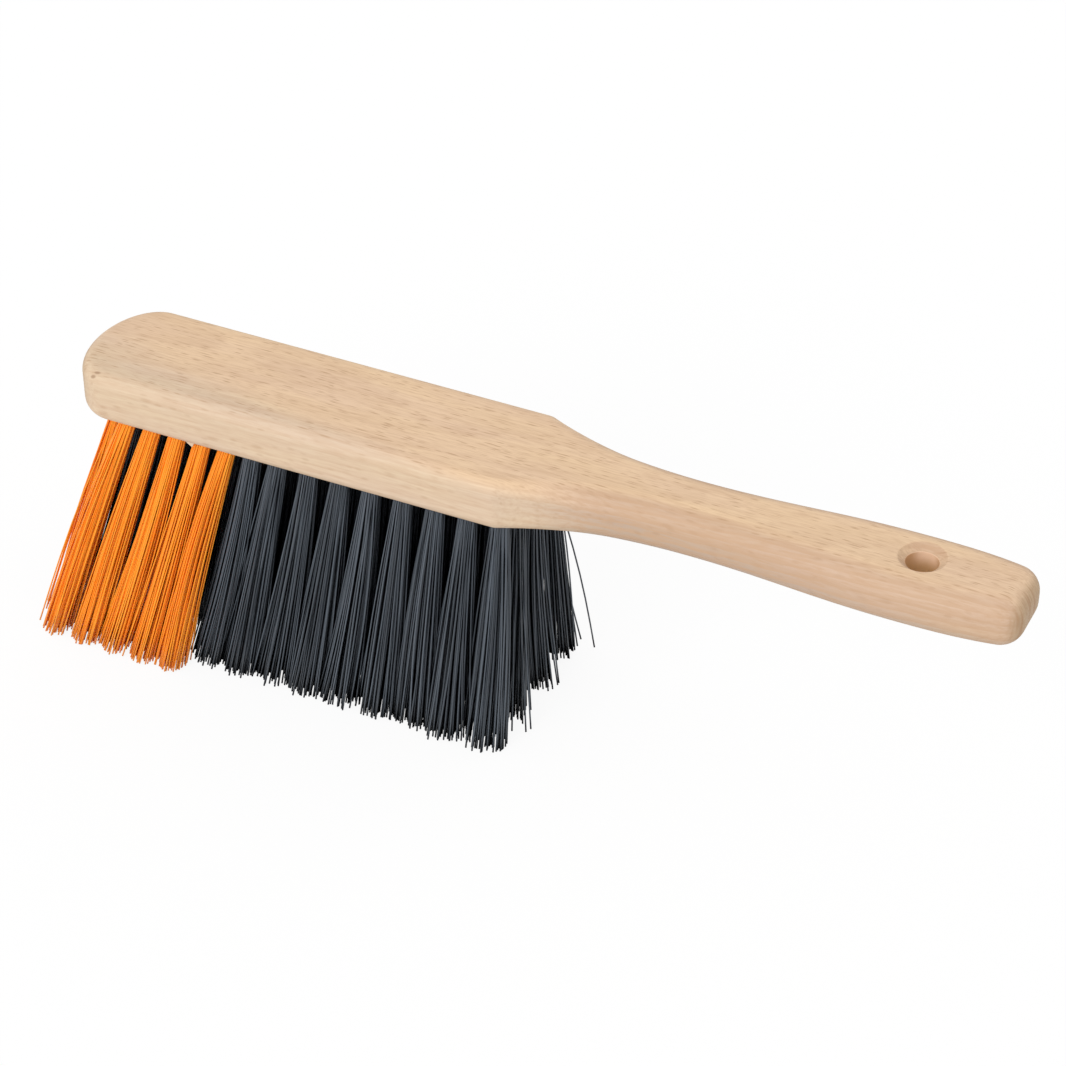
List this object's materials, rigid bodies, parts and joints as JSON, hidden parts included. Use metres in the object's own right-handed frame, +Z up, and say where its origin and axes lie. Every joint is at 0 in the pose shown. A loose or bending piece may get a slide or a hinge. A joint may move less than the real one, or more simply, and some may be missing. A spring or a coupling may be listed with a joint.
{
  "type": "hand brush",
  "caption": "Hand brush with a one-piece beech head and handle, a hang hole, and orange and dark grey bristle tufts that lean forward.",
  "frame": {"origin": "on the surface that the bristle tips stand on, under the middle of the brush's bounding box", "axes": "+X from the nose to the end of the handle, +Y across the head, +Z up, from the bristle tips to the back of the head"},
  "size_m": [0.332, 0.0752, 0.1006],
  "materials": {
    "beech": "bare sanded beech, satin",
    "orange_bristle": "satin extruded plastic strands",
    "grey_bristle": "satin extruded plastic strands"
  },
  "bodies": {
    "root": {"beech_body": "beech", "grey_tuft_a06": "grey_bristle", "grey_tuft_a07": "grey_bristle", "grey_tuft_a08": "grey_bristle", "grey_tuft_a09": "grey_bristle", "grey_tuft_a10": "grey_bristle", "grey_tuft_a11": "grey_bristle", "grey_tuft_a12": "grey_bristle", "grey_tuft_a13": "grey_bristle", "grey_tuft_a14": "grey_bristle", "grey_tuft_b01": "grey_bristle", "grey_tuft_b02": "grey_bristle", "grey_tuft_b03": "grey_bristle", "grey_tuft_b04": "grey_bristle", "grey_tuft_b05": "grey_bristle", "grey_tuft_b06": "grey_bristle", "grey_tuft_b07": "grey_bristle", "grey_tuft_b08": "grey_bristle", "grey_tuft_b09": "grey_bristle", "grey_tuft_b10": "grey_bristle", "grey_tuft_b11": "grey_bristle", "grey_tuft_b12": "grey_bristle", "grey_tuft_b13": "grey_bristle", "grey_tuft_b14": "grey_bristle", "grey_tuft_c01": "grey_bristle", "grey_tuft_c02": "grey_bristle", "grey_tuft_c03": "grey_bristle", "grey_tuft_c04": "grey_bristle", "grey_tuft_c05": "grey_bristle", "grey_tuft_c06": "grey_bristle", "grey_tuft_c07": "grey_bristle", "grey_tuft_c08": "grey_bristle", "grey_tuft_c09": "grey_bristle", "grey_tuft_c10": "grey_bristle", "grey_tuft_c11": "grey_bristle", "grey_tuft_c12": "grey_bristle", "grey_tuft_c13": "grey_bristle", "grey_tuft_c14": "grey_bristle", "grey_tuft_d06": "grey_bristle", "grey_tuft_d07": "grey_bristle", "grey_tuft_d08": "grey_bristle", "grey_tuft_d09": "grey_bristle", "grey_tuft_d10": "grey_bristle", "grey_tuft_d11": "grey_bristle", "grey_tuft_d12": "grey_bristle", "grey_tuft_d13": "grey_bristle", "grey_tuft_d14": "grey_bristle", "orange_tuft_a01": "orange_bristle", "orange_tuft_a02": "orange_bristle", "orange_tuft_a03": "orange_bristle", "orange_tuft_a04": "orange_bristle", "orange_tuft_a05": "orange_bristle", "orange_tuft_b00": "orange_bristle", "orange_tuft_c00": "orange_bristle", "orange_tuft_d01": "orange_bristle", "orange_tuft_d02": "orange_bristle", "orange_tuft_d03": "orange_bristle", "orange_tuft_d04": "orange_bristle", "orange_tuft_d05": "orange_bristle"}
  },
  "joints": []
}
